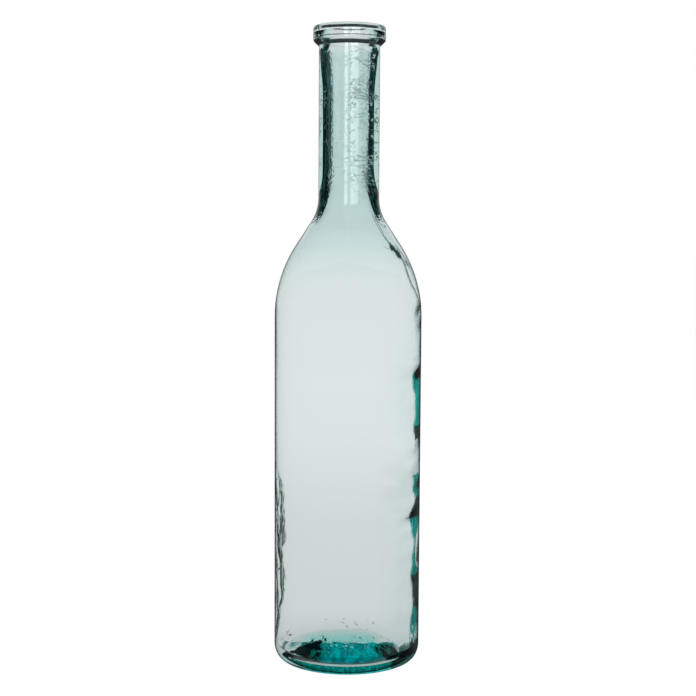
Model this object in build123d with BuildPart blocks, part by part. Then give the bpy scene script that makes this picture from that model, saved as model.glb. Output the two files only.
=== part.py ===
"""A tall bottle vase: one blown glass vessel with a thick foot, and a glass band laid round its mouth.

Millimetres, +Z up. The origin is the centre of the ring that the vase stands on.
"""

from build123d import *
from math import asin, cos, degrees, radians, sin
import os

# The whole vase
overall_height = 750.0
body_diameter = 174.2
neck_diameter = 71.6

# The outside of the body, from the foot up
heel_width = 11.5
heel_height = 18.0
foot_width = 5.0
neck_length = 175.0
flank_angle = 33.0
neck_fillet = 53.0
shoulder_share = 0.58

# The glass, measured through the wall
body_wall = 3.6
neck_wall = 15.8
mouth_wall = 12.8
heel_thickness = 10.7
centre_thickness = 9.0

# The inside
punt_rise = 12.0
floor_corner = 10.0
throat_angle = 42.0
throat_fillet = 90.0
mouth_depth = 34.0
mouth_taper = 40.0
mouth_round = 4.0

# The band laid round the mouth
lip_height = 23.4
lip_overhang = 6.6
lip_taper = 6.4
lip_round_share = 0.5

# Radii that the rest is drawn from
body_radius = body_diameter / 2
neck_radius = neck_diameter / 2
foot_radius = body_radius - heel_width
punt_radius = foot_radius - foot_width
inner_radius = body_radius - body_wall
floor_radius = inner_radius - floor_corner
throat_radius = neck_radius - neck_wall
mouth_radius = neck_radius - mouth_wall
lip_radius = neck_radius + lip_overhang
lip_round = lip_overhang * lip_round_share

# The slope between the wall and the neck: an arc, a straight flank on its tangent, and a hollow arc
flank_run, flank_rise = sin(radians(flank_angle)), cos(radians(flank_angle))
slope_width = body_radius - neck_radius - neck_fillet * (1 - flank_rise)
shoulder_radius = slope_width * shoulder_share / (1 - flank_rise)
flank_length = slope_width * (1 - shoulder_share) / flank_run
slope_height = (shoulder_radius + neck_fillet) * flank_run + flank_length * flank_rise

# Heights above the table
lip_base = overall_height - lip_height
neck_base = lip_base - neck_length
shoulder_base = neck_base - slope_height
floor_crown = punt_rise + centre_thickness
mouth_floor = overall_height - mouth_depth
throat_top = mouth_floor - mouth_taper

# The inner slope keeps the body's wall round its own arc, then leans in more than the outside does,
# so that the glass thickens towards the neck
throat_run, throat_rise = sin(radians(throat_angle)), cos(radians(throat_angle))
shoulder_centre = body_radius - shoulder_radius
inner_shoulder = shoulder_radius - body_wall
throat_arc_start = throat_radius + throat_fillet * (1 - throat_rise)
inner_slope_width = shoulder_centre + inner_shoulder * throat_rise - throat_arc_start
inner_flank = inner_slope_width / throat_run
throat_base = shoulder_base + (inner_shoulder + throat_fillet) * throat_run + inner_flank * throat_rise


def crown(half_width, edge_height, top_height):
    """The arc of a shallow dome, from its edge at half_width in to the axis."""
    rise = top_height - edge_height
    radius = (half_width**2 + rise**2) / (2 * rise)
    half_angle = degrees(asin(half_width / radius))
    return CenterArc((0, top_height - radius), radius, 90 - half_angle, half_angle)


# The blown vessel: foot, wall, shoulder and neck in one gather of glass
with BuildPart() as bottle_body:
    with BuildSketch(Plane.XZ):
        with BuildLine():
            hollow = crown(punt_radius, 0, punt_rise)
            Line(hollow @ 0, (foot_radius, 0))
            EllipticalCenterArc(
                (foot_radius, heel_height), heel_width, heel_height, start_angle=270, arc_size=90
            )
            Line((body_radius, heel_height), (body_radius, shoulder_base))
            shoulder = CenterArc((shoulder_centre, shoulder_base), shoulder_radius, 0, flank_angle)
            neck_arc = CenterArc(
                (neck_radius + neck_fillet, neck_base), neck_fillet, 180 + flank_angle, -flank_angle
            )
            Line(shoulder @ 1, neck_arc @ 0)
            Polyline(
                neck_arc @ 1,
                (neck_radius, overall_height),
                (0, overall_height),
                hollow @ 1,
            )
        make_face()
    revolve(axis=Axis.Z)

    # The cavity, from the floor's crown out to the corner and up through the neck
    with BuildSketch(Plane.XZ):
        with BuildLine():
            floor = crown(floor_radius, heel_thickness, floor_crown)
            corner = CenterArc(
                (floor_radius, heel_thickness + floor_corner), floor_corner, 270, 90
            )
            inner_arc = CenterArc(
                (shoulder_centre, shoulder_base), inner_shoulder, 0, throat_angle
            )
            Line(corner @ 1, inner_arc @ 0)
            throat_arc = CenterArc(
                (throat_radius + throat_fillet, throat_base),
                throat_fillet,
                180 + throat_angle,
                -throat_angle,
            )
            Line(inner_arc @ 1, throat_arc @ 0)
            Polyline(
                throat_arc @ 1,
                (throat_radius, throat_top),
                (mouth_radius, mouth_floor),
                (mouth_radius, overall_height),
                (0, overall_height),
                floor @ 1,
            )
        make_face()
    revolve(axis=Axis.Z, mode=Mode.SUBTRACT)

    mouth_edge = bottle_body.edges().group_by(Axis.Z)[-1].sort_by(SortBy.RADIUS)[0]
    fillet(mouth_edge, radius=mouth_round)
bottle_body.part.label = "bottle_body"

# The band laid hot round the mouth: its underside tapers to the neck, and its outer edges are rounded
with BuildPart() as lip_ring:
    with BuildSketch(Plane.XZ) as band:
        with BuildLine():
            Polyline(
                (neck_radius, lip_base),
                (lip_radius, lip_base + lip_taper),
                (lip_radius, overall_height),
                (neck_radius, overall_height),
                close=True,
            )
        make_face()
        fillet(band.vertices().group_by(Axis.X)[-1], radius=lip_round)
    revolve(axis=Axis.Z)
lip_ring.part.label = "lip_ring"

os.makedirs("parts", exist_ok=True)
for piece in (bottle_body, lip_ring):
    export_step(piece.part, f"parts/{piece.part.label}.step")

print("straight wall from", heel_height, "to", round(shoulder_base, 1), "mm")
print("shoulder radius", round(shoulder_radius, 1), "flank", round(flank_length, 1), "mm")
print("neck from", round(neck_base, 1), "to", lip_base, "mm, throat from", round(throat_base, 1))
print("mouth", round(2 * mouth_radius, 1), "mm wide, throat", round(2 * throat_radius, 1), "mm wide")
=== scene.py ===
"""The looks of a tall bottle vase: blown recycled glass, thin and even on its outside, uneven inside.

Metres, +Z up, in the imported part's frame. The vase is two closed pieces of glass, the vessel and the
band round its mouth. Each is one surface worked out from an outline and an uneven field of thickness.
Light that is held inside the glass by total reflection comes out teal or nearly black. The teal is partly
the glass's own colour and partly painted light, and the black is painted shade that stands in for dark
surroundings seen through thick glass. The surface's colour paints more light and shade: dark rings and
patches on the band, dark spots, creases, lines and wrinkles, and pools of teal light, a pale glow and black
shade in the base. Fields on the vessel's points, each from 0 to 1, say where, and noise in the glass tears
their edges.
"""

from math import asin, atan2, cos, pi, radians, sin, tan

import bpy
import numpy as np
from mathutils import Euler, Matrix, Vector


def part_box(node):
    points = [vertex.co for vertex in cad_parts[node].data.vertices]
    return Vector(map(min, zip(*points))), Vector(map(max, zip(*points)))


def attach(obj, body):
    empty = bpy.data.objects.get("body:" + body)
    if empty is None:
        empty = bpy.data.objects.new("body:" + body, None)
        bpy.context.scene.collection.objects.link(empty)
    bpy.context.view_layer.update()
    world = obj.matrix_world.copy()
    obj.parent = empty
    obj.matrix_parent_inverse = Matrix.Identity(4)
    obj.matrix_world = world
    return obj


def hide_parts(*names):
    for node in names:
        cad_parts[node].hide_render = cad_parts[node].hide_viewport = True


MM = 0.001

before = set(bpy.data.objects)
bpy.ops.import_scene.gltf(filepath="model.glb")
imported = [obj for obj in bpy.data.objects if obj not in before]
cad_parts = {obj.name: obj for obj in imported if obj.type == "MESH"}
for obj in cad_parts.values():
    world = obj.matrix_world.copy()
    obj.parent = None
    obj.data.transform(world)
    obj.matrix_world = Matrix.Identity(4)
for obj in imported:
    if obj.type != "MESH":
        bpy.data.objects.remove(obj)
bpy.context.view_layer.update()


def measured(node, corner, axis):
    """Where the solid's lowest (0) or highest (1) corner is along an axis, to the micrometre."""
    return round(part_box(node)[corner][axis], 6)


# Sizes of the vessel
HEIGHT, BODY, NECK = measured("bottle_body", 1, 2), measured("bottle_body", 1, 0), 35.8 * MM
HEEL_WIDTH, HEEL_HEIGHT, FOOT_WIDTH = 11.5 * MM, 18 * MM, 5 * MM
FOOT = BODY - HEEL_WIDTH
PUNT, PUNT_RISE = FOOT - FOOT_WIDTH, 12 * MM
SHOULDER_BASE, SHOULDER_ROUND, FLANK_ANGLE = 411.4 * MM, 153.7 * MM, radians(33)
NECK_BASE, NECK_FILLET = 551.6 * MM, 53 * MM

# Sizes of the cavity
WALL = 3.6 * MM
HEEL_THICK, FLOOR_CORNER, FLOOR_CROWN = 10.7 * MM, 10 * MM, 21 * MM
MOUTH, MOUTH_ROUND, MOUTH_FLOOR = 23 * MM, 4 * MM, 716 * MM

# Sizes of the band round the mouth, and the gap between it and the neck that it is melted on to
LIP_BASE, LIP = measured("lip_ring", 0, 2), measured("lip_ring", 1, 0)
LIP_TAPER, LIP_ROUND = 6.4 * MM, 3.3 * MM
HAIRLINE = 0.03 * MM

# Points in a ring of the vessel and of the band, and how much the vessel's crowd to its sides
COLUMNS, LIP_COLUMNS, CROWDING = 184, 192, 0.28

# The glass grows thicker between these heights, from the body's wall to the neck's
THIN_FROM, THIN_TO = 510 * MM, 586 * MM

# The bore's radius at heights up the throat, narrow under the mouth
THROAT = [
    (THIN_TO, 19.4 * MM),
    (680 * MM, 19.4 * MM),
    (695 * MM, 20.6 * MM),
    (706 * MM, 21.2 * MM),
    (MOUTH_FLOOR, 22.2 * MM),
]

# The wall's whole thickness on the heavy side, from the foot up to the shoulder
HEAVY_SIDE = [
    (20 * MM, 9.6 * MM), (31 * MM, 9.1 * MM), (67 * MM, 8.6 * MM), (107 * MM, 8.5 * MM),
    (135 * MM, 7.9 * MM), (153 * MM, 8.6 * MM), (170 * MM, 9.6 * MM), (192 * MM, 7.6 * MM),
    (205 * MM, 8.5 * MM), (225 * MM, 6.8 * MM), (262 * MM, 6.5 * MM), (283 * MM, 8.0 * MM),
    (339 * MM, 8.2 * MM), (352 * MM, 6.4 * MM), (372 * MM, 6.8 * MM), (412 * MM, 5.2 * MM),
    (450 * MM, 3.6 * MM),
]
HEAVY_MIDDLE, HEAVY_FULL, HEAVY_END = radians(-4), radians(26), radians(72)

# Drips down the inside at -X: where each starts and ends, the angle off -X, its width and its depth
DRIPS = [
    (30 * MM, 240 * MM, radians(3), radians(4), 1.6 * MM),
    (20 * MM, 215 * MM, radians(13), radians(3.5), 1.6 * MM),
    (60 * MM, 235 * MM, radians(21), radians(3), 1.4 * MM),
]

# A drip's bends: their lengths, and how far it wanders in each. Then how long its tapered ends are
DRIP_BENDS, DRIP_WANDER, DRIP_ENDS = (95 * MM, 41 * MM, 19 * MM), 0.55, (30 * MM, 45 * MM)

# Waves in the glass: their depth, their seed, the most in a turn and the shortest along the height
HEAVY_WAVE, FAINT_WAVE = (0.3 * MM, 3, 9, 24 * MM), (0.1 * MM, 6, 6, 90 * MM)
BORE_WAVE, FLOOR_WAVE = (0.06 * MM, 11, 3, 60 * MM), (0.4 * MM, 12, 6, 22 * MM)

# How much wider the uneven bore is than its outline, and how far its middle stands towards -X
BORE_WIDER, BORE_SHIFT = 0.7 * MM, 0.6 * MM

# How teal and how dark the light is that runs along inside the heavy side, by height, and the angle off +X,
# in degrees, that the teal reaches. The teal is partly the glass's colour and partly painted light, and the
# dark is painted shade
STREAK = [
    (18 * MM, 0.3, 1.0, 8), (25 * MM, 0.4, 1.0, 8), (28 * MM, 0.5, 0.0, 8), (46 * MM, 0.56, 0.0, 6),
    (52 * MM, 1.0, 0.0, 5), (66 * MM, 1.0, 0.0, 4), (68 * MM, 1.0, 1.0, 4), (104 * MM, 1.0, 1.0, 4),
    (107 * MM, 1.0, 0.2, -2), (116 * MM, 1.0, 0.0, -15), (126 * MM, 0.9, 0.2, -17),
    (134 * MM, 0.8, 0.1, -18), (152 * MM, 0.8, 0.0, -15), (162 * MM, 1.0, 0.0, -8),
    (174 * MM, 1.0, 0.1, 2), (176 * MM, 1.0, 0.9, 2), (196 * MM, 1.0, 0.9, 2),
    (200 * MM, 1.0, 0.35, -2), (222 * MM, 1.0, 0.2, -8), (228 * MM, 0.3, 0.25, -8),
    (250 * MM, 0.2, 0.3, -8), (268 * MM, 0.2, 0.5, -4), (271 * MM, 0.4, 1.0, 0),
    (282 * MM, 1.0, 1.0, 0), (284 * MM, 1.0, 0.0, -6), (342 * MM, 1.0, 0.0, -8),
    (350 * MM, 0.35, 0.0, -12), (400 * MM, 0.3, 0.0, -12), (420 * MM, 0.0, 0.0, -12),
]

# How much of its aqua the glass shows, by height: little in the wall, most under and in the neck
AQUA = [
    (0, 0.26), (400 * MM, 0.26), (436 * MM, 0.33), (455 * MM, 0.39), (475 * MM, 0.56), (495 * MM, 0.85),
    (507 * MM, 0.98), (525 * MM, 1.0), (545 * MM, 0.9), (575 * MM, 0.84), (716 * MM, 0.8), (726 * MM, 0),
]

# Spots of painted shade in the glass: the height, the angle off +X in degrees, the half sizes and how dark
# each is
SHADE_MARKS = [
    (486 * MM, -31, 5.5 * MM, 4.2, 1.0), (493 * MM, -35.5, 5 * MM, 3.8, 1.0),
    (517 * MM, -27, 2 * MM, 2.4, 1.0), (362 * MM, 2, 2.6 * MM, 1.6, 0.9),
    (169 * MM, -152, 12 * MM, 4.0, 0.55), (157 * MM, -149, 8 * MM, 3.5, 0.55),
    (214 * MM, -152, 3 * MM, 2.0, 0.5), (204 * MM, -149, 3 * MM, 1.6, 0.5),
]

# Thin creases down the right shoulder, painted dark as shade over a small bump: heights in millimetres with
# the angles off +X, in degrees
CREASES = [
    [
        (425, -15), (439, -19), (452, -27), (465, -28), (476, -27), (484, -29), (490, -34), (497, -37),
        (504, -40), (510, -42), (521, -41), (531, -41),
    ],
    [(435, -8), (452, -12), (461, -14), (469, -14), (478, -19), (489, -24), (497, -27)],
    [(490, -35), (493, -49), (495, -57)],
    [(516, -26), (519, -32), (523, -42)],
]

# The fields' soft edges: each pair is where a field is 0 and where it is 1. First those of the
# heavy side, the drips and the strands, by the angle from their middle or the height
SIDE_EDGE, SIDE_TOP, REACH_EDGE = (radians(48), radians(34)), 470 * MM, (radians(2), radians(-2))
DRIPS_EDGE, DRIPS_FOOT, DRIPS_TOP = (radians(50), radians(30)), (26 * MM, 40 * MM), (245 * MM, 225 * MM)
STRANDS_MIDDLE, STRANDS_ANGLE = radians(-159), radians(14)
STRANDS_HEIGHT, STRANDS_TALL = 138 * MM, 100 * MM
STRANDS_FOOT, STRANDS_TOP = (38 * MM, 76 * MM), (238 * MM, 200 * MM)

# Those of the foot, by height, by distance from the axis or by x and y
FOOT_TOP, UNDER_POOL, POOL_BEND = (26 * MM, 20 * MM), (2 * MM, -18 * MM), 6.4
RIGHT_HEEL, RIGHT_FRONT, RIGHT_TOP = (46 * MM, 58 * MM), (8 * MM, -12 * MM), (17 * MM, 11 * MM)
LEFT_HEEL, LEFT_FRONT, LEFT_TOP = (-42 * MM, -54 * MM), (40 * MM, 15 * MM), (6.5 * MM, 4.5 * MM)
HEEL_EDGE, HEEL_TOP = 76 * MM, 20 * MM
BED_EDGE, BED_TOP = 84 * MM, 22 * MM
FLOOR_EDGE, FLOOR_TOP = (81 * MM, 78 * MM), 30 * MM
CORNER_START, CORNER_END, CORNER_SIDES = (74 * MM, 75.5 * MM), (81.5 * MM, 80 * MM), (66 * MM, 50 * MM)
CORNER_BASE, CORNER_TOP = 9 * MM, 26 * MM

# Those of the neck's painted shade, in the light held in it and on the sides of its bore, by height, and by
# the angle off the front in degrees, at its right and its left
NECK_START, NECK_END = (508 * MM, 545 * MM), (728 * MM, 720 * MM)
NECK_FOOT_START, NECK_FOOT_END = (494 * MM, 508 * MM), (574 * MM, 558 * MM)
BORE_START, BORE_END, BORE_REACH = (560 * MM, 606 * MM), (722 * MM, 715 * MM), 30 * MM
DARK_RIGHT, DARK_LEFT, DARK_BACK = (56, 72), (48, 62), (122, 100)
BORE_SHADE_RIGHT, BORE_SHADE_LEFT, BORE_SHADE_BACK = (48, 58), (43, 53), (95, 80)

# Those of the pools painted in the base, of teal light, a pale glow and black shade: their edges in x and
# y, and the dark heaps' middles and half sizes
TEAL_FRONT, TEAL_SIDES, TEAL_MIDDLE = (-12 * MM, -24 * MM), (68 * MM, 52 * MM), 4 * MM
GLOW_SIDES, GLOW_BACK, GLOW_MIDDLE = (60 * MM, 36 * MM), (62 * MM, -8 * MM), -4 * MM
GLINT_SIDES, GLINT_ENDS, GLINT_MIDDLE = (55 * MM, 20 * MM), (50 * MM, 15 * MM), (-8 * MM, -6 * MM)
WING, WING_SIZE, WING_LEAN = (-55 * MM, -24 * MM), (25 * MM, 9 * MM), 0.7
HEAP, HEAP_SIZE = (-45 * MM, -44 * MM), (15 * MM, 30 * MM)
RIGHT_HEAP, RIGHT_HEAP_SIZE = (52 * MM, -30 * MM), (16 * MM, 23 * MM)

# Those of the wrinkles in the neck and of the rough glass in the bore, at the sides and in the base
WRINKLES_START, WRINKLES_END = (540 * MM, 600 * MM), (724 * MM, 716 * MM)
WRINKLES_RIGHT = (-8 * MM, 10 * MM)
ROUGH_SIDE, ROUGH_LEFT_TOP, ROUGH_TOP = (radians(40), radians(25)), (250 * MM, 220 * MM), 520 * MM
ROUGH_BORE, ROUGH_BORE_SIDES = 27 * MM, (11 * MM, 15 * MM)
ROUGH_BASE_TOP, ROUGH_BASE_EDGE = (30 * MM, 22 * MM), (80 * MM, 74 * MM)

# Those of the floor's waves, by height and distance from the axis, and of the bore's, by height
FLOOR_WAVE_TOP, FLOOR_WAVE_MIDDLE, FLOOR_WAVE_EDGE = (30 * MM, 12 * MM), (0, 20 * MM), (74 * MM, 60 * MM)
BORE_WAVE_START, BORE_WAVE_END = (560 * MM, THIN_TO), (740 * MM, 712 * MM)

# Patterns of noise in the vessel's glass: the scale, the detail and how much each is distorted
COARSE, SHARP, TEETH, RAGGED = (150, 3), (420, 2), (330, 2), (130, 3)
STREAKS, WRINKLES, HAIRS, SHADE_BREAKS = (420, 2), (75, 2, 0.8), (95, 2, 0.4), (48, 2, 0.5)
WRINKLED_PATCHES, BROKEN_PATCHES, FLECKS, SPARKLES = (38, 1), (34, 1), (430, 1), (430, 2)

# Patterns of noise in the band's glass
LIP_WOBBLE, LIP_BREAKS, LIP_TORN, LIP_SPECKS, LIP_BUMPS = (60, 2), (30, 1), (190, 2), (330, 2), (90, 2)

# How patterns are scaled in x, y and z. They are drawn out where the scale is below 1.
UPRIGHT, HANGING, LYING, SLOPING = (1, 1, 0.04), (1, 1, 0.22), (0.6, 0.6, 1.5), (1, 0.3, 1)

# What passes through a surface of clear glass, of aqua glass and of the floor, and to the table
CLEAR, AQUA_TINT = (1, 1, 1, 1), (0.83, 0.928, 0.923, 1)
FLOOR_TINT, SHADOW_TINT = (0.96, 0.985, 0.983, 1), (0.9, 0.95, 0.94, 1)

# What passes through the pools and the marks: painted light in the teal pools and the pale glow, and
# painted shade in the green and black pools, the marks and on the band
PALE_TEAL, DEEP_TEAL, CLEAR_TEAL = (0.36, 0.88, 0.83, 1), (0.0, 0.30, 0.33, 1), (0.001, 0.60, 0.61, 1)
GREEN_TEAL, POOL_BLACK = (0.0, 0.20, 0.12, 1), (0.001, 0.012, 0.016, 1)
PAINTED_SHADE, LIP_PAINTED_SHADE = (0.004, 0.03, 0.028, 1), (0.002, 0.004, 0.004, 1)

# What light keeps that is held inside: mirrored or let on, in the vessel and in the band. Then what it
# takes on: teal, partly the glass's colour and partly painted light, and painted shade, nearly black, that
# stands in for dark surroundings seen through thick glass
MIRRORED, LET_ON = (0.78, 0.89, 0.87, 1), (0.95, 0.97, 0.96, 1)
LIP_MIRRORED, LIP_LET_ON = (0.9, 0.94, 0.93, 1), (0.92, 0.96, 0.95, 1)
LONG_TEAL, LONG_TEAL_STREAK = (0.0, 0.25, 0.22, 1), (0.002, 0.52, 0.47, 1)
HELD_SHADE, HELD_SHADE_STREAK = (0.001, 0.010, 0.010, 1), (0.02, 0.12, 0.11, 1)
LIP_DARK = (0.006, 0.012, 0.012, 1)

# What the surface mirrors: the windows' light, which the vessel shows from a height on up, and a painted
# dark reflection nearly edge on that darkens the outline, with how strong that outline is
WINDOW_TINT, PAINTED_DARK_REFLECTION, OUTLINE = (0.8, 0.95, 0.95, 1), (0.10, 0.14, 0.14, 1), 0.8
SHINING_FROM = (470 * MM, 540 * MM)

# The glass in its depth: the colour that light takes on in it, and how fast, by the metre
VESSEL_COLOUR, VESSEL_DENSITY = (0.088, 0.694, 0.665, 1), 6.8
LIP_COLOUR, LIP_DENSITY = (0.5, 0.8, 0.78, 1), 4.0
REFRACTION = 1.5

# Painted shade in dark rings round the band, for dark surroundings bent in its rounded edges and seam: the
# height and the half width, and where each ends at the sides
HIGH_RING, HIGH_RING_END = (745.4 * MM, 1.8 * MM), (31 * MM, 37 * MM)
LOW_RING, LOW_RING_END = (728.6 * MM, 2.5 * MM), (25 * MM, 31 * MM)
SEAM = (735.8 * MM, 0.75 * MM)

# Painted shade in dark patches at the band's two ends, in its colour and in its held light: the height and
# the half width, and where each starts
HIGH_PATCH, HIGH_PATCH_START = (746.5 * MM, 3 * MM), (33 * MM, 36 * MM)
LOW_PATCH, LOW_PATCH_START = (737 * MM, 3.6 * MM), (27 * MM, 31 * MM)
HELD_PATCH, HELD_PATCH_START = (738 * MM, 3.2 * MM), (24 * MM, 27 * MM)
LIP_MIRRORS_FROM = (731 * MM, 735 * MM)

# How bright the room is to what lights the vase, behind the glass, and how much more in its windows
LIGHT, BACKDROP, WINDOW = 0.7, 0.835, 5.5

# The camera, fitted to the outline in the photograph
PICTURE_PIXELS = 696
FOCAL_PIXELS = 1390.25
CAMERA_DISTANCE, CAMERA_HEIGHT, CAMERA_ASIDE = 1.6488, 0.5151, -0.0007
CAMERA_PITCH, CAMERA_ROLL = 0.0858, -0.0053


def arc(centre, radius, start, end, count):
    """Points of a circle's arc in the outline's plane, from the start angle to the end angle."""
    angle = np.linspace(start, end, count)
    return np.stack([centre[0] + radius * np.cos(angle), centre[1] + radius * np.sin(angle)], 1)


def line(start, end, count):
    """Evenly spaced points from start up to, and without, end."""
    share = np.linspace(0, 1, count, endpoint=False)[:, None]
    return np.asarray(start) * (1 - share) + np.asarray(end) * share


def smooth(zero, one, value):
    """0 where value is at or past zero, 1 where it is at or past one, whichever of them is the greater,
    and a cubic with level ends between them."""
    share = np.clip((value - zero) / (one - zero), 0, 1)
    return share * share * (3 - 2 * share)


def waves(angle, height, depth, seed, around, shortest, count=28):
    """An uneven field of about -depth to depth: the sum of cosines of seeded whole turns round the vase
    and seeded rates along it, no faster than around waves a turn and one wave in the shortest length."""
    draw = np.random.default_rng(seed)
    turns = draw.integers(-around, around + 1, count)
    rates = draw.uniform(-1, 1, count) * 2 * pi / shortest
    phases = draw.uniform(0, 2 * pi, count)
    field = np.zeros(np.broadcast(angle, height).shape)
    for turn, rate, phase in zip(turns, rates, phases):
        field += np.cos(turn * angle + rate * height + phase)
    return depth * field / (count / 2) ** 0.5 / 1.6


def skin(name, rows, poles):
    """A closed mesh through rows of points, each row a ring round the axis. With poles, the first and
    last rings shrink to one point each; without them, the last ring joins the first."""
    count, around = rows.shape[:2]
    points = rows.reshape(-1, 3)
    index = np.arange(count * around).reshape(count, around)
    if not poles:
        index = np.concatenate([index, index[:1]])
    here, after = index, np.roll(index, -1, axis=1)
    if poles:
        inner = slice(1, count - 1)
        here, after = here[inner], after[inner]
    quads = np.stack([here[:-1], after[:-1], after[1:], here[1:]], -1).reshape(-1, 4)
    faces = quads.tolist()
    if poles:
        ends = np.stack([rows[0].mean(0), rows[-1].mean(0)])
        first, last = len(points), len(points) + 1
        points = np.concatenate([points, ends])
        faces += [[b, a, first] for a, b in zip(here[0], after[0])]
        faces += [[a, b, last] for a, b in zip(here[-1], after[-1])]
        keep = np.r_[around : (count - 1) * around, first, last]
        place = np.full(len(points), -1)
        place[keep] = np.arange(len(keep))
        points, faces = points[keep], [[int(place[i]) for i in face] for face in faces]
    mesh = bpy.data.meshes.new(name)
    mesh.from_pydata(points.tolist(), [], faces)
    mesh.polygons.foreach_set("use_smooth", [True] * len(mesh.polygons))
    mesh.update()
    piece = bpy.data.objects.new(name, mesh)
    bpy.context.collection.objects.link(piece)
    return piece


def shoulder_round(count):
    """The shoulder's round, from the straight wall up to the straight flank."""
    return arc((BODY - SHOULDER_ROUND, SHOULDER_BASE), SHOULDER_ROUND, 0, FLANK_ANGLE, count)


def neck_hollow(count):
    """The hollow round from the flank up into the neck."""
    return arc((NECK + NECK_FILLET, NECK_BASE), NECK_FILLET, pi + FLANK_ANGLE, pi, count)


def dome(half_width, edge_height, top_height):
    """The centre, the radius and half the angle of the arc of a shallow dome round the axis."""
    rise = top_height - edge_height
    radius = (half_width**2 + rise**2) / (2 * rise)
    return (0, top_height - radius), radius, asin(half_width / radius)


def outside():
    """The vessel's outer outline from the punt's centre up to the top of the neck, as (radius, height):
    a dome under the foot, a quarter ellipse for the heel, the wall, and two rounds with a flank between."""
    centre, radius, half = dome(PUNT, 0, PUNT_RISE)
    turn = np.linspace(-pi / 2, 0, 18)
    heel = np.stack([FOOT + HEEL_WIDTH * np.cos(turn), HEEL_HEIGHT + HEEL_HEIGHT * np.sin(turn)], 1)
    shoulder, neck = shoulder_round(20), neck_hollow(16)
    return np.concatenate(
        [
            arc(centre, radius, pi / 2, pi / 2 - half, 15),
            heel,
            line(heel[-1], shoulder[0], 56)[1:],
            shoulder,
            line(shoulder[-1], neck[0], 6)[1:],
            neck,
            line(neck[-1], (NECK, HEIGHT), 26)[1:],
        ]
    )


def inside():
    """The cavity's outline from the mouth's edge down to the floor's centre, as (radius, height). Its
    slope is the outside's, set in by the thickness of the glass, which grows towards the neck."""
    inner = BODY - WALL
    shoulder, neck = shoulder_round(34), neck_hollow(26)
    flank = line(shoulder[-1], neck[0], 10)
    slope = np.concatenate(
        [shoulder[:-1], flank, neck[:-1], line((NECK, NECK_BASE), (NECK, THIN_TO), 20)]
    )
    along = np.gradient(slope, axis=0)
    along /= np.hypot(along[:, :1], along[:, 1:])
    thick = WALL + (NECK - THROAT[0][1] - WALL) * smooth(THIN_FROM, THIN_TO, slope[:, 1:])
    slope = (slope + thick * np.stack([-along[:, 1], along[:, 0]], 1))[::-1]
    corner = arc((inner - FLOOR_CORNER, HEEL_THICK + FLOOR_CORNER), FLOOR_CORNER, 0, -pi / 2, 14)
    heights = np.linspace(MOUTH_FLOOR, slope[0, 1], 60, endpoint=False)
    bore = np.interp(heights, *np.array(THROAT).T)
    soft = np.convolve(np.pad(bore, 5, mode="edge"), np.ones(11) / 11, mode="valid")
    rim = arc((MOUTH + MOUTH_ROUND, HEIGHT - MOUTH_ROUND), MOUTH_ROUND, pi / 2, pi, 9)
    centre, radius, half = dome(inner - FLOOR_CORNER, HEEL_THICK, FLOOR_CROWN)
    floor = arc(centre, radius, pi / 2 - half, pi / 2, 30)
    return np.concatenate(
        [
            rim,
            line(rim[-1], (MOUTH, MOUTH_FLOOR), 12)[1:],
            np.stack([soft, heights], 1),
            slope,
            line(slope[-1], corner[0], 130)[1:],
            corner,
            floor[1:],
        ]
    )


def around_axis(outline, angle):
    """Rings of points: the outline turned about the axis, at each of the angles."""
    radius, height = outline[:, :1], outline[:, 1:]
    return np.stack(np.broadcast_arrays(radius * np.cos(angle), radius * np.sin(angle), height), -1)


def turned(angle, middle):
    """The angle from middle, at most half a turn either way."""
    return np.angle(np.exp(1j * (angle - middle)))


def drip(angle, height, base, top, off, width, depth, seed):
    """A thin rope of glass: a round ridge whose angle wanders with height and which tapers at its ends."""
    draw = np.random.default_rng(seed)
    path = off + pi
    for length in DRIP_BENDS:
        path = path + length * DRIP_WANDER * np.sin(2 * pi * height / length + draw.uniform(0, 2 * pi))
    low, high = DRIP_ENDS
    ends = smooth(base, base + low, height) * smooth(top, top - high, height)
    return depth * ends * np.exp(-((turned(angle, path) / width) ** 2))


def softened(height, table):
    """The table's values along the height, with its corners rounded over 8 mm."""
    known = np.array(table)
    near = [np.interp(height + shift, *known.T) for shift in np.linspace(-4 * MM, 4 * MM, 5)]
    return sum(near) / len(near)


def thickening(angle, height):
    """Extra glass inside the wall, in metres: a heavy side at +X, drips low at -X and a faint wave all
    over."""
    side = smooth(HEAVY_END, HEAVY_FULL, np.abs(turned(angle, HEAVY_MIDDLE)))
    heavy = side * (softened(height, HEAVY_SIDE) - WALL + waves(angle, height, *HEAVY_WAVE))
    drips = sum(drip(angle, height, *row, seed) for seed, row in enumerate(DRIPS))
    return np.maximum(heavy, 0) + drips + waves(angle, height, *FAINT_WAVE)


def above_punt(radius, height):
    """True above the skin of the hollow under the foot, taken as a parabola in section, and False on
    it."""
    hollow = PUNT_RISE * (1 - (radius / PUNT) ** 2)
    return height > hollow + 4 * MM


def behind_edge(x, y):
    """How far behind the middle of the teal pool's back edge a point is. The edge bends back at its
    ends, as a parabola, so that it looks straight through the round wall."""
    return y - POOL_BEND * x**2


def floor_corner(radius):
    """1 from the start of the corner between the cavity's floor and its wall outwards."""
    return smooth(*CORNER_START, radius)


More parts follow.
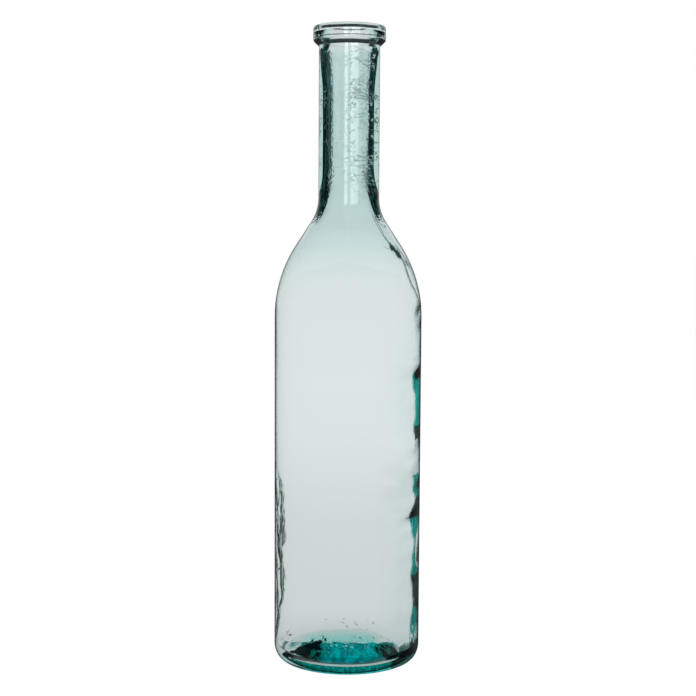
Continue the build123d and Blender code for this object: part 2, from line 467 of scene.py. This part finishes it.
def side_held_light(angle, height):
    """How teal and how dark light comes out of the heavy side, the teal partly the glass's colour and
    partly painted light and the dark painted shade, and how much painted shade falls where the drips hang.
    """
    known = np.array(STREAK)
    side = smooth(*SIDE_EDGE, np.abs(turned(angle, HEAVY_MIDDLE))) * (height < SIDE_TOP)
    reach = radians(1) * np.interp(height, known[:, 0], known[:, 3])
    within = smooth(*REACH_EDGE, turned(angle, 0) - reach)
    teal = side * within * np.interp(height, known[:, 0], known[:, 1])
    dark = side * np.interp(height, known[:, 0], known[:, 2])
    dripping = smooth(*DRIPS_EDGE, np.abs(turned(angle, pi)))
    dripping = dripping * smooth(*DRIPS_FOOT, height) * smooth(*DRIPS_TOP, height)
    return teal, dark, 0.3 * dripping


def neck_painted_shade(x, y, height):
    """How much painted shade the light held in the neck's glass takes on, in bands that stand in for dark
    surroundings, and how much painted shade the sides of its bore get in their colour. Both fade towards
    the bore's front and back, and down towards the foot of the throat."""
    off_front = np.degrees(np.arctan2(x, -y))
    bore = (np.hypot(x, y) < BORE_REACH) * smooth(*BORE_START, height)
    sides = np.where(x > 0, smooth(*DARK_RIGHT, off_front), smooth(*DARK_LEFT, -off_front))
    sides = sides * smooth(*DARK_BACK, np.abs(off_front))
    neck = smooth(*NECK_START, height) * smooth(*NECK_END, height) * (1 - bore * (1 - sides))
    ink = np.where(x > 0, smooth(*BORE_SHADE_RIGHT, off_front), smooth(*BORE_SHADE_LEFT, -off_front))
    return neck, ink * bore * smooth(*BORE_SHADE_BACK, np.abs(off_front)) * smooth(*BORE_END, height)


def held_light_fields(place):
    """Fields for light that is held inside the glass: how teal and how dark it comes out, the teal partly
    the glass's colour and partly painted light and the dark painted shade, how much painted shade it takes
    on in the neck, where it passes straight on instead, low in the foot and at the foot of the neck, and
    where the heel and the sides of the bore are darkened with painted shade in the surface's colour."""
    x, y, height = place[..., 0], place[..., 1], place[..., 2]
    radius = np.hypot(x, y)
    teal, dark, dripping = side_held_light(np.arctan2(y, x), height)
    corner = floor_corner(radius) * (radius < BED_EDGE) * (height > CORNER_BASE) * (height < CORNER_TOP)
    low = smooth(*FOOT_TOP, height) * (1 - corner * smooth(*CORNER_SIDES, np.abs(x)))
    under = ~above_punt(radius, height) * smooth(*UNDER_POOL, behind_edge(x, y))
    right = smooth(*RIGHT_HEEL, x) * smooth(*RIGHT_FRONT, y)
    left = smooth(*LEFT_HEEL, x) * smooth(*LEFT_FRONT, y)
    heel = (radius > HEEL_EDGE) * (height < HEEL_TOP)
    heel = heel * np.maximum(right * smooth(*RIGHT_TOP, height), left * smooth(*LEFT_TOP, height))
    neck, bore_shade = neck_painted_shade(x, y, height)
    neck_foot = smooth(*NECK_FOOT_START, height) * smooth(*NECK_FOOT_END, height)
    return {
        "teal": np.maximum(teal * (1 - low), under),
        "dark": np.maximum(np.maximum(dark * (1 - low), low * right), dripping),
        "neck_dark": neck,
        "straight": np.maximum(low, neck_foot),
        "rim": np.maximum(heel, bore_shade),
    }


def off_ellipse(x, y, middle, half_sizes, lean=0.0):
    """How far a point is from the middle of an ellipse, 1 on its edge. With a lean, its long axis moves
    in y by that share of x."""
    along, across = x - middle[0], y - middle[1]
    return np.hypot(along / half_sizes[0], (across - lean * along) / half_sizes[1])


def base_painted_pools(place):
    """Fields in the base: the cavity's floor, the bed of glass under it, the bed's corner, and three pools
    painted in it: teal light, a paler teal glow behind that and nearly black shade. Last, where it
    sparkles, with painted glints and a bump."""
    x, y, height = place[..., 0], place[..., 1], place[..., 2]
    radius = np.hypot(x, y)
    above = above_punt(radius, height)
    bed = above * (radius < BED_EDGE) * (height < BED_TOP)
    teal = smooth(*TEAL_FRONT, behind_edge(x, y)) * smooth(*TEAL_SIDES, np.abs(x - TEAL_MIDDLE))
    glow = smooth(*GLOW_SIDES, np.abs(x - GLOW_MIDDLE)) * smooth(*GLOW_BACK, y)
    wing = off_ellipse(x, y, WING, WING_SIZE, WING_LEAN)
    left = smooth(1.8, 0.4, np.minimum(wing, off_ellipse(x, y, HEAP, HEAP_SIZE)))
    right = smooth(1.3, 0.7, off_ellipse(x, y, RIGHT_HEAP, RIGHT_HEAP_SIZE))
    glint = smooth(*GLINT_SIDES, np.abs(x - GLINT_MIDDLE[0]))
    glint = glint * smooth(*GLINT_ENDS, np.abs(y - GLINT_MIDDLE[1]))
    return {
        "floor": smooth(*FLOOR_EDGE, radius) * (height < FLOOR_TOP) * above,
        "bed": bed,
        "corner": floor_corner(radius) * smooth(*CORNER_END, radius) * bed,
        "teal_pool": teal * bed,
        "glow": glow * bed,
        "dark_pool": np.maximum(left, 0.85 * right) * bed,
        "glint": glint * bed,
    }


def uneven(place):
    """Fields for where the glass is wrinkled, in the neck and mostly in its right half, and how rough
    it is: rough in the bore, at both sides of the body and in the base."""
    x, y, height = place[..., 0], place[..., 1], place[..., 2]
    angle, radius = np.arctan2(y, x), np.hypot(x, y)
    neck = smooth(*WRINKLES_START, height) * smooth(*WRINKLES_END, height)
    right = smooth(*ROUGH_SIDE, np.abs(turned(angle, 0)))
    left = smooth(*ROUGH_SIDE, np.abs(turned(angle, pi))) * smooth(*ROUGH_LEFT_TOP, height)
    sides = np.minimum(right + left, 1) * (height < ROUGH_TOP)
    bore = 3 * neck * (radius < ROUGH_BORE) * smooth(*ROUGH_BORE_SIDES, np.abs(x))
    base = smooth(*ROUGH_BASE_TOP, height) * smooth(*ROUGH_BASE_EDGE, radius)
    return {
        "wrinkled": neck * (0.25 + 0.75 * smooth(*WRINKLES_RIGHT, x)),
        "rough": np.maximum(np.maximum(bore, 0.12 * sides), 0.25 * base),
    }


def marks(place):
    """Fields for how near a spot of painted shade is, from 1 in its middle to 0 at twice its half sizes,
    and for how dark it is painted."""
    angle, height = np.arctan2(place[..., 1], place[..., 0]), place[..., 2]
    field, ink = np.zeros(height.shape), np.zeros(height.shape)
    for middle, off, tall, wide, strength in SHADE_MARKS:
        apart = np.hypot((height - middle) / tall, turned(angle, radians(off)) / radians(wide))
        near = np.clip(1 - apart / 2, 0, 1)
        ink = np.where(near > field, strength, ink)
        field = np.maximum(field, near)
    return {"marks": field, "ink": ink}


def strands(place):
    """A field for where strands hang in the glass at -X, painted dark as shade over a bump: a patch with
    the outline of an ellipse and with soft ends."""
    angle, height = np.arctan2(place[..., 1], place[..., 0]), place[..., 2]
    wide = np.sqrt(np.clip(1 - ((height - STRANDS_HEIGHT) / STRANDS_TALL) ** 2, 0.01, 1))
    off = turned(angle, STRANDS_MIDDLE) / (STRANDS_ANGLE * wide)
    ends = smooth(*STRANDS_FOOT, height) * smooth(*STRANDS_TOP, height)
    return smooth(1.2, 0.6, np.abs(off)) * ends


def cavity_skin(outline, angle):
    """Rings of points on the cavity's wall. The extra glass is pushed into the cavity, the bore is a
    little off round and wider towards -X, and the floor has waves between its middle and its edge."""
    radius, height = outline[:, :1], outline[:, 1:]
    bore_part = smooth(*BORE_WAVE_START, height)
    radius = radius * (1 - thickening(angle, height) * (1 - bore_part) / (BODY - WALL))
    wider = BORE_WIDER - BORE_SHIFT * np.cos(angle) + waves(angle, height, *BORE_WAVE)
    radius = radius + wider * bore_part * smooth(*BORE_WAVE_END, height)
    floor_part = smooth(*FLOOR_WAVE_TOP, height)
    floor_part = floor_part * smooth(*FLOOR_WAVE_MIDDLE, radius) * smooth(*FLOOR_WAVE_EDGE, radius)
    height = height + waves(angle, radius, *FLOOR_WAVE) * floor_part
    return np.stack(np.broadcast_arrays(radius * np.cos(angle), radius * np.sin(angle), height), -1)


def make_vessel():
    """The blown vessel: its outside, the top of its neck and its cavity as one closed skin, with the
    fields that its glass follows. Its columns stand closer together at the left and the right."""
    share = np.linspace(0, 2 * pi, COLUMNS, endpoint=False)
    angle = share - CROWDING * np.sin(2 * share)
    outer, inner = outside(), inside()
    top = line((NECK, HEIGHT), inner[0], 6)[1:]
    rings = [around_axis(outer, angle), around_axis(top, angle), cavity_skin(inner, angle)]
    vessel = skin("vessel", np.concatenate(rings), poles=True)
    points = np.empty(len(vessel.data.vertices) * 3, np.float32)
    vessel.data.vertices.foreach_get("co", points)
    place = points.reshape(-1, 3).astype(float)
    fields = {**held_light_fields(place), **base_painted_pools(place), **uneven(place), **marks(place)}
    fields["strands"] = strands(place)
    fields["aqua"] = softened(place[:, 2], AQUA)
    fields["outer"] = np.arange(len(place)) < (len(outer) - 1) * COLUMNS
    for name, field in fields.items():
        made = vessel.data.attributes.new(name, "FLOAT", "POINT")
        made.data.foreach_set("value", field.astype(np.float32))
    return vessel


def make_lip():
    """The band laid round the mouth: its underside tapers to the neck and its outer edges are round."""
    seat = NECK + HAIRLINE
    bend = atan2(LIP - NECK, LIP_TAPER)
    start = LIP_BASE + LIP_TAPER + LIP_ROUND * tan(bend / 2)
    under = arc((LIP - LIP_ROUND, start), LIP_ROUND, -bend, 0, 10)
    top = arc((LIP - LIP_ROUND, HEIGHT - LIP_ROUND), LIP_ROUND, 0, pi / 2, 10)
    outline = np.concatenate(
        [
            line((seat, LIP_BASE), under[0], 6),
            under,
            line(under[-1], top[0], 8)[1:],
            top,
            line(top[-1], (seat, HEIGHT), 3)[1:],
            line((seat, HEIGHT), (seat, LIP_BASE), 8),
        ]
    )
    angle = np.linspace(0, 2 * pi, LIP_COLUMNS, endpoint=False)
    return skin("lip", around_axis(outline, angle), poles=False)


class Value:
    """A socket that varies over a surface. Python's operators on it add Math nodes."""

    def __init__(self, recipe, socket):
        self.recipe, self.socket = recipe, socket

    def math(self, operation, *others):
        node = self.recipe.node("ShaderNodeMath", {"operation": operation}, [self, *others])
        return Value(self.recipe, node.outputs[0])

    def __add__(self, other):
        return self.math("ADD", other)

    def __sub__(self, other):
        return self.math("SUBTRACT", other)

    def __rsub__(self, other):
        return self.math("MULTIPLY", -1).math("ADD", other)

    def __mul__(self, other):
        return self.math("MULTIPLY", other)

    __radd__, __rmul__ = __add__, __mul__


class Recipe:
    """The node tree of one material or of the world."""

    def __init__(self, owner):
        owner.use_nodes = True
        self.tree = owner.node_tree
        self.tree.nodes.clear()

    def node(self, kind, settings=None, sockets=None):
        """One node, with its settings, a ramp's stops among them, and each socket's value or link."""
        made = self.tree.nodes.new(kind)
        for name, value in (settings or {}).items():
            if name == "stops":
                ramp = made.color_ramp
                while len(ramp.elements) < len(value):
                    ramp.elements.new(0.5)
                for stop, (place, colour) in zip(ramp.elements, value):
                    stop.position, stop.color = place, colour
            else:
                setattr(made, name, value)
        pairs = enumerate(sockets) if isinstance(sockets, list) else (sockets or {}).items()
        for name, value in pairs:
            socket = made.inputs[name]
            if isinstance(value, Value):
                value = value.socket
            if isinstance(value, bpy.types.NodeSocket):
                self.tree.links.new(value, socket)
            else:
                socket.default_value = value
        return made

    def output(self, kind, name, settings=None, sockets=None):
        """The named output of a new node, ready for arithmetic."""
        return Value(self, self.node(kind, settings, sockets).outputs[name])

    def coordinates(self, kind="Object"):
        """Where a point is, or for Generated in the world which way it is seen, and its x, y and z."""
        place = self.output("ShaderNodeTexCoord", kind)
        parts = self.node("ShaderNodeSeparateXYZ", None, [place])
        return place, *(Value(self, parts.outputs[axis]) for axis in range(3))

    def scaled(self, place, scale):
        """The place with each axis scaled, for a pattern that is drawn out."""
        return self.output("ShaderNodeMapping", 0, None, {"Vector": place, "Scale": scale})

    def noise(self, place, scale, detail, distortion=0.0):
        """A field of noise from 0 to 1, mostly near 0.5."""
        sockets = {"Vector": place, "Scale": scale, "Detail": detail, "Distortion": distortion}
        return self.output("ShaderNodeTexNoise", 0, None, sockets)

    def field(self, name):
        """One of the fields on the vessel's points."""
        return self.output("ShaderNodeAttribute", "Fac", {"attribute_name": name})

    def bump(self, raised):
        """The surface's normal where raised stands proud of it, by 0.4 mm for each 1."""
        sockets = {"Strength": 1.0, "Distance": 0.4 * MM, "Height": raised}
        return self.output("ShaderNodeBump", 0, None, sockets)

    def leaving(self):
        """1 where the ray meets the surface from inside the glass."""
        return self.output("ShaderNodeNewGeometry", "Backfacing")


def grey(level):
    return (level, level, level, 1)


def step(value, low, high):
    """0 below low, 1 above high, with a soft edge between."""
    settings = {"interpolation_type": "SMOOTHSTEP"}
    return value.recipe.output("ShaderNodeMapRange", 0, settings, [value, low, high, 0.0, 1.0])


def band(value, middle, half_width):
    """1 within half_width of middle, with soft edges from 0.7 to 1.3 times that."""
    near = (value - middle).math("ABSOLUTE")
    return 1 - step(near, half_width * 0.7, half_width * 1.3)


def thin_lines(field, half_width):
    """1 along the lines where a noise field passes its middle, and 0 away from them."""
    return 1 - step((field - 0.5).math("ABSOLUTE"), half_width * 0.4, half_width)


def strongest(fields):
    """The greatest of the fields at each point."""
    most, *others = fields
    for other in others:
        most = most.math("MAXIMUM", other)
    return most


def ramp(value, span, stops):
    """A grey level that follows value from -span to span, through the stops (value, level)."""
    places = [((at + span) / (2 * span), grey(level)) for at, level in stops]
    share = value * (0.5 / span) + 0.5
    return value.recipe.output("ShaderNodeValToRGB", 0, {"stops": places}, [share])


def mix_colours(recipe, share, first, second):
    sockets = {0: share, 6: first, 7: second}
    return recipe.output("ShaderNodeMix", 2, {"data_type": "RGBA"}, sockets)


def over(recipe, under, share, upper):
    """The upper shader laid over the other by its share."""
    return recipe.node("ShaderNodeMixShader", None, [share, under.outputs[0], upper.outputs[0]])


def coats(recipe, kind, sockets, colour, others):
    """A shader in one colour, with the same shader in others laid over it in turn, each by its share."""
    made = recipe.node(kind, None, {**sockets, "Color": colour})
    for share, other in others:
        made = over(recipe, made, share, recipe.node(kind, None, {**sockets, "Color": other}))
    return made


def held_light(recipe, mirrored, let_on, tints):
    """Two shaders for light that is held inside the glass: one mirrors it, the other lets it straight on,
    and both have the tints of painted light and shade laid over them by their shares."""
    mirror = coats(recipe, "ShaderNodeBsdfAnisotropic", {"Roughness": 0.0}, mirrored, tints)
    return mirror, coats(recipe, "ShaderNodeBsdfTransparent", {}, let_on, tints)


def see_through(recipe, colour):
    return recipe.node("ShaderNodeBsdfTransparent", None, {"Color": colour})


def melted_seat(recipe):
    """1 where the band is melted on to the neck, so that light passes there as in one glass."""
    _, x, y, height = recipe.coordinates()
    radius = (x * x + y * y).math("SQRT")
    near = (radius - (NECK + HAIRLINE / 2)).math("ABSOLUTE").math("LESS_THAN", 0.1 * MM)
    return near * height.math("GREATER_THAN", LIP_BASE)


def glass(name, absorbs, density, finish):
    """Clear glass that takes up light by its depth. finish adds the rest to the node tree and gives a
    dictionary: the tint of the surface, with painted light and shade in it, and its bump, the shader that
    paints teal light and shade on light that is held in by total reflection, how much the surface is
    shining with what is in front of it, how strong the painted dark reflection is that darkens its outline
    nearly edge on, and, for a floor that only bends the light, its share and its shader. Lamps shine
    through to the table."""
    material = bpy.data.materials.new(name)
    recipe = Recipe(material)
    look = finish(recipe)
    clear = {
        "Base Color": look["tint"],
        "Roughness": 0.0,
        "IOR": REFRACTION,
        "Transmission Weight": 1.0,
        "Normal": look["bump"],
    }
    dull, bright = (
        recipe.node("ShaderNodeBsdfPrincipled", None, {**clear, "Specular Tint": mirror})
        for mirror in (grey(0.0), WINDOW_TINT)
    )
    surface = over(recipe, dull, look["shining"], bright)
    if "floor" in look:
        surface = over(recipe, surface, *look["floor"])
    bumpy = {"IOR": REFRACTION, "Normal": look["bump"]}
    grazing = recipe.output("ShaderNodeFresnel", "Fac", None, bumpy)
    leaving = recipe.leaving()
    # A painted dark reflection darkens the outline nearly edge on
    edge_on = step(grazing, 0.22, 0.45) * (1 - leaving) * look["outline"]
    painted_dark_reflection = {"Roughness": 0.0, "Color": PAINTED_DARK_REFLECTION}
    surface = over(recipe, surface, edge_on, recipe.node("ShaderNodeBsdfAnisotropic", None, painted_dark_reflection))
    surface = over(recipe, surface, grazing.math("GREATER_THAN", 0.99) * leaving, look["held_light_shade"])
    surface = over(recipe, surface, melted_seat(recipe), see_through(recipe, grey(1)))
    shadow = recipe.output("ShaderNodeLightPath", "Is Shadow Ray")
    surface = over(recipe, surface, shadow, see_through(recipe, SHADOW_TINT))
    depth = recipe.node("ShaderNodeVolumeAbsorption", None, {"Color": absorbs, "Density": density})
    ends = {"Surface": surface.outputs[0], "Volume": depth.outputs[0]}
    recipe.node("ShaderNodeOutputMaterial", None, ends)
    return material


def crease(angle, height, path, wobble):
    """A thin line down the wall along a path, pointed at its ends. The path's angles go through a ramp
    as shares of the widest."""
    span, widest = 0.7, 60
    stops = [(high * MM, -off / widest) for high, off in path]
    way = ramp(height, span, stops) * radians(-widest)
    near = ((angle - way) * (75 * MM) + wobble).math("ABSOLUTE")
    low, high = path[0][0] * MM, path[-1][0] * MM
    within = step(height, low, low + 3 * MM) * (1 - step(height, high - 3 * MM, high))
    return (1 - step(near, 0.6 * MM, 1.5 * MM)) * within


def neck_wrinkles(recipe, place):
    """Thin lying wrinkles in the neck's glass, in patches."""
    lines = thin_lines(recipe.noise(recipe.scaled(place, LYING), *WRINKLES), 0.026)
    return lines * step(recipe.noise(place, *WRINKLED_PATCHES), 0.47, 0.53) * recipe.field("wrinkled")


def neck_shade_bands(recipe, place, streaks, teeth, wrinkles):
    """How much painted shade the neck's held light takes on: bands with streaked and toothed edges, broken
    by the wrinkles in patches.
    """
    neck = recipe.field("neck_dark")
    bands = step(neck + (streaks - 0.5) * 0.6 + teeth, 0.3, 0.5) * step(neck, 0.05, 0.3)
    return bands * (1 - wrinkles * step(recipe.noise(place, *BROKEN_PATCHES), 0.56, 0.6))


def hanging_hairs(recipe, place, torn):
    """Thin lines that hang in the wall where the strands are, painted dark as shade and bumped."""
    lines = thin_lines(recipe.noise(recipe.scaled(place, HANGING), *HAIRS), 0.036)
    return lines * step(recipe.field("strands") + torn * 1.2, 0.45, 0.6)


def painted_pool_shares(recipe, sloping, ragged, teal_pool, dark_pool):
    """The painted tints of the pools in the base with their shares: a pale teal glow and teal light,
    painted light, and green and black, painted shade. The teal is flecked with painted glints where the
    glass sparkles, and thin light breaks run through the black. The bed's corner shows them only where
    light enters the glass."""
    bed = recipe.field("bed") * (1 - recipe.field("corner") * recipe.leaving())
    flecks = step(recipe.noise(sloping, *FLECKS), 0.58, 0.64)
    shade_breaks = thin_lines(recipe.noise(sloping, *SHADE_BREAKS), 0.035)
    deep = teal_pool * bed * (1 - flecks * recipe.field("glint"))
    return [
        (recipe.field("glow") * (0.75 + ragged * 0.3), PALE_TEAL),
        (deep, DEEP_TEAL),
        (deep * step(ragged, -0.18, 0.22), CLEAR_TEAL),
        (deep * recipe.field("dark_pool"), GREEN_TEAL),
        (dark_pool * bed * (1 - shade_breaks * 0.9), POOL_BLACK),
    ]


def vessel_finish(recipe):
    """Pools of painted teal light and black shade in the base, wrinkles, marks, creases and hanging lines
    painted dark as shade, and painted teal light and shade in the light held in the heavy side and the
    neck.
    """
    place, x, y, height = recipe.coordinates()
    sloping = recipe.scaled(place, SLOPING)
    coarse, sharp = recipe.noise(place, *COARSE) - 0.5, recipe.noise(place, *SHARP) - 0.5
    ragged = (recipe.noise(sloping, *RAGGED) - 0.5) * 2.2
    teeth = (recipe.noise(place, *TEETH) - 0.5) * 1.6
    streaks = recipe.noise(recipe.scaled(place, UPRIGHT), *STREAKS)
    torn = coarse * 0.9
    tearing = {
        "teal": torn,
        "dark": torn + sharp * 0.3,
        "teal_pool": ragged * 0.8,
        "dark_pool": ragged * 1.2 + sharp * 0.7,
        "marks": torn + sharp * 0.6,
    }
    teal, dark, teal_pool, dark_pool, mark = (
        step(recipe.field(name) + wave, 0.35, 0.65) for name, wave in tearing.items()
    )
    wrinkles = neck_wrinkles(recipe, place)
    hairs = hanging_hairs(recipe, place, torn)
    angle, wobble = y.math("ARCTAN2", x), coarse * (4 * MM)
    creases = strongest(crease(angle, height, path, wobble) for path in CREASES)
    rim = step(recipe.field("rim") + torn * 0.5 + teeth * 0.6, 0.4, 0.6)
    # Painted shade in the surface's colour: the marks, the creases, the hanging lines, the wrinkles and the
    # sides of the bore and the heel
    ink = strongest([mark * recipe.field("ink"), creases * 0.95, hairs * 0.95, wrinkles * 0.6, rim])
    painted_light_and_shade = painted_pool_shares(recipe, sloping, ragged, teal_pool, dark_pool) + [(ink, PAINTED_SHADE)]
    tint = mix_colours(recipe, recipe.field("aqua"), CLEAR, AQUA_TINT)
    for share, colour in painted_light_and_shade:
        tint = mix_colours(recipe, share, tint, colour)

    # What its long way inside the glass does to light: teal, partly the glass's colour and partly painted
    # light, and painted shade, darkest in the neck's bands
    dark = dark.math("MAXIMUM", neck_shade_bands(recipe, place, streaks, teeth, wrinkles))
    streaked = step(streaks, 0.48, 0.6)
    held_light_tints = [
        (teal, LONG_TEAL),
        (teal * streaked, LONG_TEAL_STREAK),
        (dark, HELD_SHADE),
        (dark * streaked * 0.8, HELD_SHADE_STREAK),
    ]
    mirror, onward = held_light(recipe, MIRRORED, LET_ON, held_light_tints)

    rough = (coarse * 0.7 + sharp * 1.0) * recipe.field("rough")
    sparkles = recipe.noise(sloping, *SPARKLES) * recipe.field("glint") * 2.0
    bump = recipe.bump(wrinkles * 1.3 + rough + hairs * 0.8 + creases * 0.5 + sparkles)
    bending = {"Roughness": 0.0, "IOR": REFRACTION, "Normal": bump}
    bends = coats(recipe, "ShaderNodeBsdfRefraction", bending, FLOOR_TINT, painted_light_and_shade)
    return {
        "tint": tint,
        "bump": bump,
        "held_light_shade": over(recipe, mirror, recipe.field("straight"), onward),
        "shining": step(height, *SHINING_FROM),
        "outline": recipe.field("outer") * OUTLINE,
        "floor": (recipe.field("floor"), bends),
    }


def lip_finish(recipe):
    """Clear glass with painted shade: dark rings, with breaks, on its rounded edges and seam, for dark
    surroundings bent in them, and dark torn patches at its left and right ends, in its colour and in its
    held light."""
    place, across, along, height = recipe.coordinates()
    aside = across.math("ABSOLUTE")
    wobble = (recipe.noise(place, *LIP_WOBBLE) - 0.5) * (2.4 * MM)
    torn = (recipe.noise(place, *LIP_TORN) - 0.5) * (5 * MM)
    wavy, ragged = height + wobble * 0.4, height + torn
    high_ring = band(wavy, *HIGH_RING) * (1 - step(aside, *HIGH_RING_END))
    low_ring = band(wavy, *LOW_RING) * (1 - step(aside, *LOW_RING_END))
    rings = strongest([high_ring, low_ring]) * step(recipe.noise(place, *LIP_BREAKS), 0.24, 0.3)
    seam = band(height + wobble * 0.3, *SEAM) * 0.9
    high_patch = band(ragged, *HIGH_PATCH) * step(aside + torn, *HIGH_PATCH_START)
    low_patch = band(ragged, *LOW_PATCH) * step(aside + torn, *LOW_PATCH_START)
    specks = step(recipe.noise(place, *LIP_SPECKS), 0.4, 0.5) * 0.7 + 0.3
    front = 1 - step(along, -4 * MM, 4 * MM)
    dark = strongest([rings, seam, strongest([high_patch, low_patch]) * specks * front])
    held_patch = band(ragged, *HELD_PATCH) * step(aside, *HELD_PATCH_START)
    mirror, onward = held_light(recipe, LIP_MIRRORED, LIP_LET_ON, [(held_patch, LIP_DARK)])
    return {
        "tint": mix_colours(recipe, dark * (1 - recipe.leaving()), CLEAR, LIP_PAINTED_SHADE),
        "bump": recipe.bump(recipe.noise(place, *LIP_BUMPS) * 0.4),
        "held_light_shade": over(recipe, onward, step(height, *LIP_MIRRORS_FROM), mirror),
        "shining": 1 - dark,
        "outline": OUTLINE,
    }


def ray_kinds(recipe):
    """Whether the ray comes from the camera, from a mirroring surface or through glass."""
    rays = recipe.node("ShaderNodeLightPath")
    kinds = ("Is Camera Ray", "Is Glossy Ray", "Is Transmission Ray")
    return [Value(recipe, rays.outputs[name]) for name in kinds]


def make_studio():
    """White for the camera. Through glass the room is pale, and a little darker high up. Mirrored, it
    is bright at the back, dark at the sides and dim in front, with a tall window on either side of the
    camera. A plain grey level lights the rest. Ways round the room are in degrees from the back."""
    world = bpy.data.worlds.new("studio")
    bpy.context.scene.world = world
    recipe = Recipe(world)
    _, across, along, up = recipe.coordinates("Generated")
    turn = across.math("ARCTAN2", along) * (180 / pi)
    upper = BACKDROP - 0.03
    room = ramp(up, 1.0, [(0.0, BACKDROP + 0.01), (0.1, upper), (0.3, upper), (0.5, 0.7)])
    dark_sides = [(0, 0.9), (25, 0.9), (42, 0.2), (60, 0.04), (160, 0.03), (172, 0.5)]
    mirrored = ramp(turn.math("ABSOLUTE"), 180.0, dark_sides)
    left = ramp(turn, 180.0, [(-175.5, 0), (-174, 1), (-163.5, 1), (-161, 0)])
    right = ramp(turn, 180.0, [(143, 0), (148, 0.8), (173, 1), (174.5, 0)])
    low = ramp(up, 1.0, [(0.30, 1), (0.38, 0)])
    mirrored = mirrored + (left + right) * low * WINDOW
    camera, glossy, through = ray_kinds(recipe)
    lit = glossy * mirrored + (1 - glossy) * LIGHT
    strength = camera + (1 - camera) * (through * room + (1 - through) * lit)
    shown = recipe.node("ShaderNodeBackground", None, {"Color": grey(1), "Strength": strength})
    recipe.node("ShaderNodeOutputWorld", None, {"Surface": shown.outputs[0]})


def make_floor():
    """A wide white floor that keeps the vase's shadow. Glass sees it a little darker near the vase, a
    painted shade round the foot.
    """
    points = arc((0, 0), 30.0, 0, 2 * pi, 65)[:-1]
    mesh = bpy.data.meshes.new("floor")
    mesh.from_pydata([(x, y, 0) for x, y in points.tolist()], [], [list(range(len(points)))])
    floor = bpy.data.objects.new("floor", mesh)
    bpy.context.collection.objects.link(floor)
    material = bpy.data.materials.new("floor_white")
    recipe = Recipe(material)
    matt = recipe.node("ShaderNodeBsdfDiffuse", None, {"Color": grey(0.12)})
    place = recipe.output("ShaderNodeTexCoord", "Object")
    reach = recipe.output("ShaderNodeVectorMath", "Value", {"operation": "LENGTH"}, [place])
    # Painted shade: through glass the floor's glow is weaker near the vase
    through_glass_shade = [(0.08, 0.5), (0.2, 0.57), (0.8, 0.60), (1.25, 0.66), (1.9, 0.71), (2.9, BACKDROP - 0.1)]
    camera, _, through = ray_kinds(recipe)
    strength = camera * 0.92 + through * ramp(reach, 3.0, through_glass_shade)
    glow = recipe.node("ShaderNodeEmission", None, {"Color": grey(1), "Strength": strength})
    both = recipe.node("ShaderNodeAddShader", None, [matt.outputs[0], glow.outputs[0]])
    recipe.node("ShaderNodeOutputMaterial", None, {"Surface": both.outputs[0]})
    floor.data.materials.append(material)


def soft_box(name, angle, distance, height, width, power):
    """A square soft lamp at an angle from the camera's side, above the vase, that faces its foot."""
    lamp = bpy.data.lights.new(name, "AREA")
    lamp.shape, lamp.size, lamp.energy = "SQUARE", width, power
    box = bpy.data.objects.new(name, lamp)
    box.location = (distance * sin(angle), -distance * cos(angle), height)
    box.rotation_euler = (atan2(distance, height), 0, angle)
    box.visible_glossy = box.visible_transmission = False
    bpy.context.collection.objects.link(box)


def make_camera():
    camera = bpy.data.objects.new("camera", bpy.data.cameras.new("camera"))
    bpy.context.collection.objects.link(camera)
    camera.data.sensor_width = 36
    camera.data.lens = camera.data.sensor_width * FOCAL_PIXELS / PICTURE_PIXELS
    camera.data.clip_end = 200
    camera.location = (CAMERA_ASIDE, -CAMERA_DISTANCE, CAMERA_HEIGHT)
    camera.rotation_euler = Euler((pi / 2 - CAMERA_PITCH, CAMERA_ROLL, 0), "YXZ")
    bpy.context.scene.camera = camera


make_camera()
make_studio()
make_floor()
for name, angle in (("soft_left", -70), ("soft_right", 110)):
    soft_box(name, radians(angle), distance=1.3, height=2.0, width=1.2, power=16)

vessel, lip = make_vessel(), make_lip()
vessel.data.materials.append(glass("pale_green_glass", VESSEL_COLOUR, VESSEL_DENSITY, vessel_finish))
lip.data.materials.append(glass("clear_lip_glass", LIP_COLOUR, LIP_DENSITY, lip_finish))
for piece, node, slot in ((vessel, "bottle_body", "body_glass"), (lip, "lip_ring", "lip_glass")):
    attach(piece, "root")
    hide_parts(node)

bpy.context.scene.view_settings.view_transform = "Standard"
